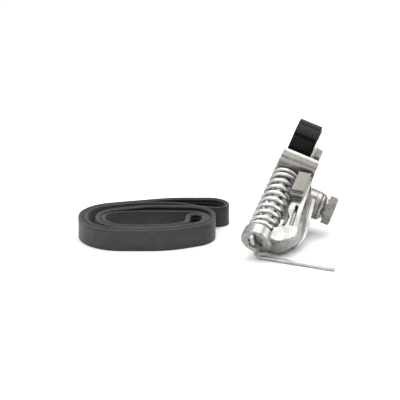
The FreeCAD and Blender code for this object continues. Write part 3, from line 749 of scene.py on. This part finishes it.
def make_collar():
    """The cap and the thrust ring: two turned rings with a dark joint between them."""
    low, high = extent("bearing_cap")
    matrix = across_axis("thrust_ring")
    outer = (high.y - low.y) / 2
    bore = 8.4 * MM
    profile = [(low.x, bore, 0.2 * MM), (low.x, outer, 0.4 * MM),
               (high.x - 1.4 * MM, outer, 0.3 * MM),
               (high.x - 1.1 * MM, outer - 0.5 * MM, 0.1 * MM),
               (high.x - 0.8 * MM, outer - 0.5 * MM, 0.1 * MM),
               (high.x - 0.6 * MM, outer - 0.1 * MM, 0.2 * MM),
               (high.x, outer - 0.8 * MM, 0.3 * MM), (high.x, bore, 0.2 * MM)]
    mesh = turned_mesh("housing_cap", rounded(profile))
    cap = add_piece("housing_cap", mesh, matrix, ["bearing_cap"], [COLLAR],
                    weighted=True)
    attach(cap, "base")

    low, high = extent("thrust_ring")
    outer = (high.y - low.y) / 2
    profile = [(low.x, bore, 0.1 * MM), (low.x, outer - 0.9 * MM, 0.2 * MM),
               (low.x + 0.8 * MM, outer, 0.4 * MM), (high.x - 3.0 * MM, outer, 0.5 * MM),
               (high.x, outer - 3.0 * MM, 0.5 * MM), (high.x, bore, 0.2 * MM)]
    mesh = turned_mesh("collar_ring", rounded(profile))
    ring = add_piece("collar_ring", mesh, matrix, ["thrust_ring"], [COLLAR],
                     weighted=True)
    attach(ring, "base")


def make_pulley():
    low, high = extent("pulley")
    outer = (high.y - low.y) / 2
    rim = outer - 3.0 * MM
    hub = 23.0 * MM
    bore = 20.0 * MM
    middle = (low.x + high.x) / 2
    web = 2.5 * MM
    hub_low = middle - 6.5 * MM
    hub_high = middle + 6.5 * MM
    profile = [
        (low.x, rim + 0.8 * MM, 0.3 * MM), (low.x, outer - 0.3 * MM, 0.25 * MM),
        (low.x + 0.6 * MM, outer, 0.5 * MM), (high.x - 0.6 * MM, outer, 0.5 * MM),
        (high.x, outer - 0.3 * MM, 0.25 * MM), (high.x, rim + 0.8 * MM, 0.3 * MM),
        (high.x - 0.9 * MM, rim, 0.4 * MM), (middle + web, rim - 0.3 * MM, 1.2 * MM),
        (middle + web, hub, 1.2 * MM), (hub_high, hub - 0.4 * MM, 0.4 * MM),
        (hub_high, bore, 0.3 * MM), (hub_low, bore, 0.3 * MM),
        (hub_low, hub - 0.4 * MM, 0.4 * MM), (middle - web, hub, 1.2 * MM),
        (middle - web, rim - 0.3 * MM, 1.2 * MM), (low.x + 0.9 * MM, rim, 0.4 * MM),
    ]
    mesh = turned_mesh("idler_pulley", rounded(profile))
    pulley = add_piece("idler_pulley", mesh, across_axis("pulley"), ["pulley"],
                       [PULLEY_BLACK], weighted=True)
    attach(pulley, "pulley_wheel")


def make_shield():
    """The pressed cover: a rolled rim, a sloping dish and a raised flat centre."""
    low, high = extent("dust_shield")
    outer = (high.y - low.y) / 2
    bore = 5.1 * MM
    thick = 0.9 * MM
    upper = [(high.x, bore, 0.2 * MM), (high.x, 11.2 * MM, 0.8 * MM),
             (high.x - 0.9 * MM, 13.6 * MM, 0.8 * MM), (high.x - 0.7 * MM, 20.0 * MM, 1.5 * MM),
             (low.x + 1.1 * MM, 24.6 * MM, 0.8 * MM),
             (low.x + 1.0 * MM, outer - 0.3 * MM, 0.4 * MM),
             (low.x + 0.5 * MM, outer, 0.2 * MM)]
    lower = [(low.x, outer - 0.1 * MM, 0.2 * MM), (low.x, 24.4 * MM, 0.4 * MM),
             (high.x - 0.7 * MM - thick, 19.8 * MM, 1.0 * MM),
             (high.x - 0.9 * MM - thick, 13.4 * MM, 0.4 * MM),
             (high.x - thick, 11.0 * MM, 0.4 * MM), (high.x - thick, bore, 0.2 * MM)]
    mesh = turned_mesh("pressed_cover", rounded(upper + lower))
    cover = add_piece("pressed_cover", mesh, across_axis("pulley"),
                      ["dust_shield"], [SHIELD_STEEL], weighted=True)
    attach(cover, "lever")


# ------------------------------------------------------------------ belt
BELT_THICKNESS = 4.4 * MM
RIB_COUNT = 6
RIB_DEPTH = 2.4 * MM
RIB_TIP = 1.5 * MM
CORD_DEPTH = 0.9 * MM
CORD_WIDTH = 0.55 * MM
BELT_STEP = 1.7 * MM
FINE_STEP = 0.4 * MM           # along the loop, before it is divided evenly
RELAX_PASSES = 6
RELAX_SHARE = 0.85
# The loop that the belt lies in, seen from above, in mm: its middle line's least x and least y,
# and its corners as (x, y, bend radius).
BELT_LEFT = -175.2
BELT_NEAR = 27.0
BELT_CORNERS = [
    (-85.0, 130.0, 120.0),
    (-175.2, 105.0, 38.0),
    (-175.2, 27.0, 45.0),
    (-85.0, 27.0, 80.0),
    (-39.7, 48.1, 28.0),
    (-39.7, 102.0, 26.0),
    (-108.0, 105.5, 60.0),
    (-157.4, 88.0, 24.0),
    (-157.4, 36.8, 32.0),
    (-87.2, 36.8, 70.2),
    (-49.5, 54.3, 18.2),
    (-49.5, 79.0, 8.0),
    (-65.0, 79.0, 7.5),
    (-66.5, 51.8, 14.0),
    (-88.3, 41.7, 65.3),
    (-152.5, 41.7, 27.1),
    (-152.5, 82.0, 15.0),
    (-118.0, 88.0, 60.0),
    (-44.6, 86.5, 19.0),
    (-44.6, 51.2, 23.1),
    (-86.1, 31.9, 75.1),
    (-170.3, 31.9, 40.1),
    (-170.3, 101.3, 33.1),
    (-112.0, 117.5, 60.0),
    (-75.0, 115.5, 40.0),
    (-46.0, 100.5, 20.0),
    (-24.9, 98.5, 10.0),
    (-24.9, 130.0, 20.0),
]


def corner_arc(index):
    """Start, centre and end of the loop's bend at one corner."""
    count = len(BELT_CORNERS)
    x, y, radius = BELT_CORNERS[index]
    corner = Vector((x, y))
    before = (Vector(BELT_CORNERS[index - 1][:2]) - corner).normalized()
    after = (Vector(BELT_CORNERS[(index + 1) % count][:2]) - corner).normalized()
    half = before.angle(after) / 2
    reach = radius / math.tan(half)
    centre = corner + (before + after).normalized() * (radius / math.sin(half))
    start = corner + before * reach
    end = corner + after * reach
    return start * MM, centre * MM, end * MM


def belt_line():
    """Evenly spaced points along the closed loop, bends as arcs."""
    dense = []
    count = len(BELT_CORNERS)
    for index in range(count):
        start, centre, end = corner_arc(index)
        sweep = -(start - centre).angle_signed(end - centre)
        steps = max(round(abs(sweep) * (start - centre).length / FINE_STEP), 4)
        for step in range(steps + 1):
            turn = sweep * step / steps
            dense.append(centre + Matrix.Rotation(turn, 2) @ (start - centre))
        following = corner_arc((index + 1) % count)[0]
        gap = (following - end).length
        steps = max(round(gap / FINE_STEP), 1)
        dense += [end.lerp(following, step / steps) for step in range(1, steps)]
    lengths = [(dense[(i + 1) % len(dense)] - dense[i]).length for i in range(len(dense))]
    total = sum(lengths)
    amount = round(total / BELT_STEP)
    line = []
    walked = 0.0
    index = 0
    for step in range(amount):
        target = total * step / amount
        while walked + lengths[index] < target:
            walked += lengths[index]
            index += 1
        share = (target - walked) / lengths[index] if lengths[index] > 0 else 0
        line.append(dense[index].lerp(dense[(index + 1) % len(dense)], share))
    return line


def relaxed(line, passes):
    """The line with its curvature evened out, as a springy belt takes its bends."""
    count = len(line)
    for _ in range(passes):
        line = [line[i] / 2 + (line[i - 1] + line[(i + 1) % count]) / 4 for i in range(count)]
        grown = [line[i] * 1.5 - (line[i - 1] + line[(i + 1) % count]) / 4 for i in range(count)]
        line = [point.lerp(wider, RELAX_SHARE) for point, wider in zip(line, grown)]
    return line


def belt_outline(height):
    """(depth, height, material) points round the belt's section, back first."""
    pitch = height / RIB_COUNT
    root = BELT_THICKNESS - RIB_DEPTH
    soft = 0.35 * MM
    half_root = 0.35 * MM
    outline = [(soft, 0.0, 1), (soft * 0.3, soft * 0.3, 0), (0.0, soft, 0)]
    outline += [(0.0, height * share, 0) for share in (0.2, 0.4, 0.6, 0.8)]
    outline += [(0.0, height - soft, 0), (soft * 0.3, height - soft * 0.3, 1), (soft, height, 1),
                (CORD_DEPTH, height, 2), (CORD_DEPTH + CORD_WIDTH, height, 1)]
    outline.append((root, height, 1))
    for index in range(RIB_COUNT):
        middle = height - pitch * (index + 0.5)
        for side in (1, -1):
            tip = RIB_TIP / 2 * side
            flank = (pitch / 2 - half_root) * side
            rib = [
                (root + 0.25 * MM, middle + flank * 0.97, 3),
                (BELT_THICKNESS - 0.35 * MM, middle + tip * 1.22, 3),
                (BELT_THICKNESS - 0.08 * MM, middle + tip * 0.95, 3),
                (BELT_THICKNESS, middle + tip * 0.55, 3),
            ]
            outline += rib if side == 1 else rib[::-1]
        if index < RIB_COUNT - 1:
            edge = height - pitch * (index + 1)
            outline += [(root, edge + half_root * 0.5, 3), (root, edge - half_root * 0.5, 3)]
    outline += [(root, 0.0, 1), (CORD_DEPTH + CORD_WIDTH, 0.0, 2), (CORD_DEPTH, 0.0, 1)]
    return outline


def make_belt():
    low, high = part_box("ribbed_belt")
    half = BELT_THICKNESS / 2
    height = high.z - low.z
    origin = Vector((low.x + half - BELT_LEFT * MM, low.y + half - BELT_NEAR * MM, low.z))
    line = relaxed(belt_line(), RELAX_PASSES)
    count = len(line)
    outline = belt_outline(height)
    points = []
    rings = []
    for index in range(count):
        ahead = (line[(index + 1) % count] - line[index - 1]).normalized()
        left = Vector((-ahead.y, ahead.x, 0))
        place = origin + Vector((line[index].x, line[index].y, 0))
        rings.append(list(range(len(points), len(points) + len(outline))))
        for depth, level, _ in outline:
            points.append(place + left * (depth - half) + Vector((0, 0, level)))
    faces = ring_faces(rings, closed=True)
    mesh = bpy.data.meshes.new("drive_belt")
    mesh.from_pydata([tuple(point) for point in points], [], faces)
    for index, polygon in enumerate(mesh.polygons):
        polygon.material_index = outline[index % len(outline)][2]
    mesh.flip_normals()
    belt = add_piece("drive_belt", mesh, Matrix.Identity(4), ["ribbed_belt"],
                     [BELT_BACK, BELT_EDGE, BELT_CORD, BELT_RIBS])
    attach(belt, "belt")


# ------------------------------------------------------------------ CAD nodes that stay
def finish_inner_parts():
    """Finishes for the parts inside the assembly, whose CAD shapes are shown as they are."""
    bronze = dull_part("bronze_finish", (0.45, 0.33, 0.18), (0.33, 0.24, 0.13), 0.9, 0.38)
    rubber = dull_part("seal_finish", (0.030, 0.030, 0.031), (0.018, 0.018, 0.018), 0.0, 0.5)
    polymer = dull_part("polymer_finish", (0.10, 0.095, 0.085), (0.06, 0.058, 0.052), 0.0, 0.45)
    race = dull_part("race_finish", (0.68, 0.68, 0.68), (0.56, 0.56, 0.57), 1.0, 0.16)
    plated = dull_part("plated_finish", (0.66, 0.64, 0.60), (0.52, 0.50, 0.47), 1.0, 0.26)
    finishes = {
        "mounting_sleeves": plated, "rod_bush": bronze, "near_spring_seat": plated,
        "far_spring_seat": plated, "pivot_bush": bronze, "friction_washer": polymer,
        "pivot_seal": rubber, "bearing_outer_ring": race, "bearing_inner_ring": race,
        "bearing_balls": race, "bearing_cage": polymer, "bearing_seals": rubber,
        "bearing_sleeve": plated, "spacer_washer": plated, "shield_spacer": plated,
    }
    for node, finish in finishes.items():
        mesh = frame["nodes"][node].data
        mesh.materials.clear()
        mesh.materials.append(finish)


# ------------------------------------------------------------------ stage, lights, camera
def add_floor():
    size = 40.0
    mesh = bpy.data.meshes.new("floor")
    corners = [(-size, -size, 0), (size, -size, 0), (size, size, 0), (-size, size, 0)]
    mesh.from_pydata(corners, [], [(0, 1, 2, 3)])
    floor = bpy.data.objects.new("floor", mesh)
    bpy.context.scene.collection.objects.link(floor)
    material, shader = new_material("floor_finish", Specular_IOR_Level=0.1)
    tone = ramp(material, noise(material, 0.5),
                [(0.3, (0.93, 0.93, 0.93)), (0.7, (0.95, 0.95, 0.95))])
    link(material, tone, shader.inputs["Base Color"])
    shader.inputs["Roughness"].default_value = 0.9
    mesh.materials.append(material)


def sky_ramp(tree, factor, stops):
    """Grey brightness through (position, value) stops of one direction component."""
    node = tree.nodes.new("ShaderNodeValToRGB")
    elements = node.color_ramp.elements
    while len(elements) < len(stops):
        elements.new(0.5)
    for element, (position, value) in zip(elements, stops):
        element.position = position
        element.color = (value, value, value, 1.0)
    tree.links.new(factor, node.inputs["Fac"])
    return node.outputs["Color"]


def add_world():
    """A studio: bright above and behind, dim on the side that the photograph is taken from."""
    world = bpy.data.worlds.new("studio")
    world.use_nodes = True
    bpy.context.scene.world = world
    tree = world.node_tree
    background = tree.nodes["Background"]
    place = tree.nodes.new("ShaderNodeTexCoord")
    halved = tree.nodes.new("ShaderNodeMapping")
    halved.inputs["Location"].default_value = (0.5, 0.5, 0.5)
    halved.inputs["Scale"].default_value = (0.5, 0.5, 0.5)
    parts = tree.nodes.new("ShaderNodeSeparateXYZ")
    tree.links.new(place.outputs["Generated"], halved.inputs["Vector"])
    tree.links.new(halved.outputs["Vector"], parts.inputs["Vector"])
    height = sky_ramp(tree, parts.outputs["Z"],
                      [(0.45, 0.55), (0.62, 0.60), (0.80, 1.1), (1.0, 1.4)])
    depth = sky_ramp(tree, parts.outputs["Y"],
                     [(0.05, 0.35), (0.35, 0.45), (0.55, 1.0), (1.0, 1.1)])
    product = tree.nodes.new("ShaderNodeMix")
    product.data_type = "RGBA"
    product.blend_type = "MULTIPLY"
    product.inputs["Factor"].default_value = 1.0
    tree.links.new(height, product.inputs["A"])
    tree.links.new(depth, product.inputs["B"])
    tree.links.new(product.outputs["Result"], background.inputs["Color"])
    background.inputs["Strength"].default_value = 1.0


def add_light(name, place, target, size, watts):
    data = bpy.data.lights.new(name, "AREA")
    data.shape = "RECTANGLE"
    data.size, data.size_y = size
    data.energy = watts
    light = bpy.data.objects.new(name, data)
    bpy.context.scene.collection.objects.link(light)
    light.location = place
    light.rotation_euler = (target - Vector(place)).to_track_quat("-Z", "Y").to_euler()


def add_lights():
    target = Vector((0.02, 0.0, 0.04))
    add_light("key", (-0.55, -0.75, 1.05), target, (1.7, 1.3), 12.0)
    add_light("top", (0.25, 0.35, 1.30), target, (1.2, 1.0), 12.0)
    add_light("side", (1.10, -0.25, 0.55), target, (0.5, 0.9), 6.0)


def add_camera():
    """The photograph's viewpoint: level heading, looking 18 degrees down."""
    target = Vector((-0.0091, -0.0394, 0.0572))
    distance = 1.2
    elevation = math.radians(18)
    data = bpy.data.cameras.new("camera")
    data.sensor_width = 36
    data.lens = 112
    camera = bpy.data.objects.new("camera", data)
    bpy.context.scene.collection.objects.link(camera)
    back = Vector((0, -math.cos(elevation), math.sin(elevation)))
    camera.location = target + back * distance
    camera.rotation_euler = (-back).to_track_quat("-Z", "Y").to_euler()
    bpy.context.scene.camera = camera


make_bracket()
make_lever()
make_rod()
make_spring()
make_pin()
make_pivot_bolt()
make_pulley_bolt()
make_collar()
make_pulley()
make_shield()
make_belt()
finish_inner_parts()
add_floor()
add_world()
add_lights()
add_camera()
bpy.context.scene.view_settings.view_transform = "Standard"
